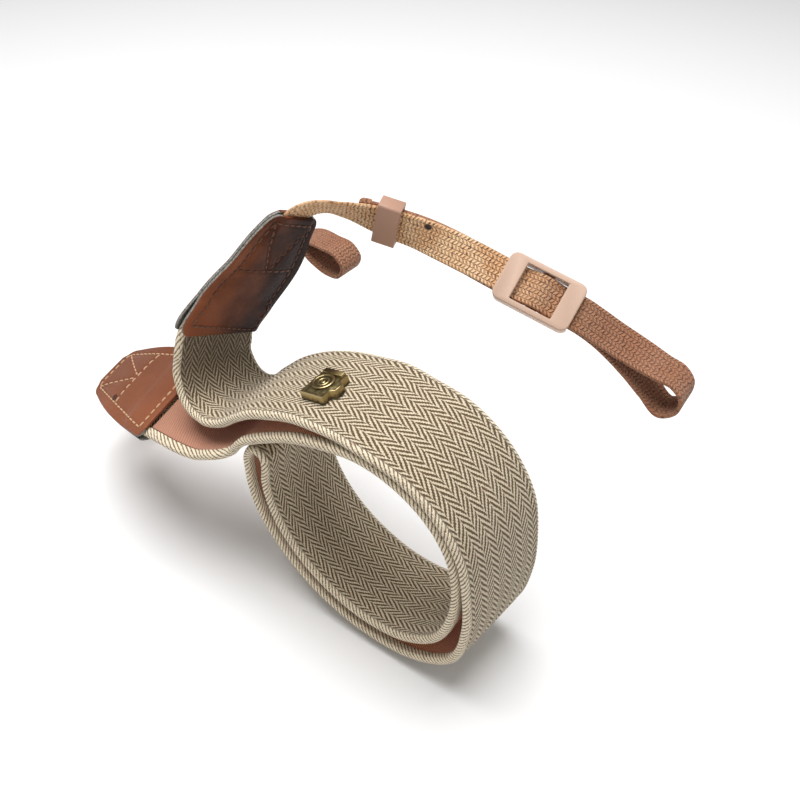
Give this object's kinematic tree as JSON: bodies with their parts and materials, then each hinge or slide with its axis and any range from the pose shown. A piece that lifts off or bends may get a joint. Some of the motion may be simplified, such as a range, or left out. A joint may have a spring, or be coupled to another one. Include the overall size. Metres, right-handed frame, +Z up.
{
  "type": "coiled leather camera strap",
  "caption": "Woollen camera strap folded double round a lens barrel, with leather tabs, webbing ends, sliders, keepers and a small brass stud.",
  "frame": {"origin": "the point of the lens barrel's axis that lies at the middle of the coil's width", "axes": "-Y is the way that the lens looks, +Z is up and X runs along the camera's width"},
  "size_m": [0.2227, 0.1016, 0.1345],
  "materials": {
    "tweed": "herringbone wool, matte",
    "lining": "fine ribbed cloth, matte",
    "leather_a": "dark brown, satin, stitched",
    "leather_b": "mid brown, satin, stitched",
    "webbing": "woven tan tape with dark flecks",
    "plastic": "matte beige",
    "antique_brass": "darkened brass"
  },
  "bodies": {
    "root": {"band_face": "tweed", "band_lining": "lining", "tab_a_front": "leather_a", "tab_a_back": "leather_a", "tab_b_front": "leather_b", "tab_b_back": "leather_b", "webbing_a": "webbing", "webbing_b": "webbing", "slider_a": "plastic", "slider_b": "plastic", "keeper_a": "plastic", "keeper_b": "plastic", "badge": "antique_brass"}
  },
  "joints": []
}
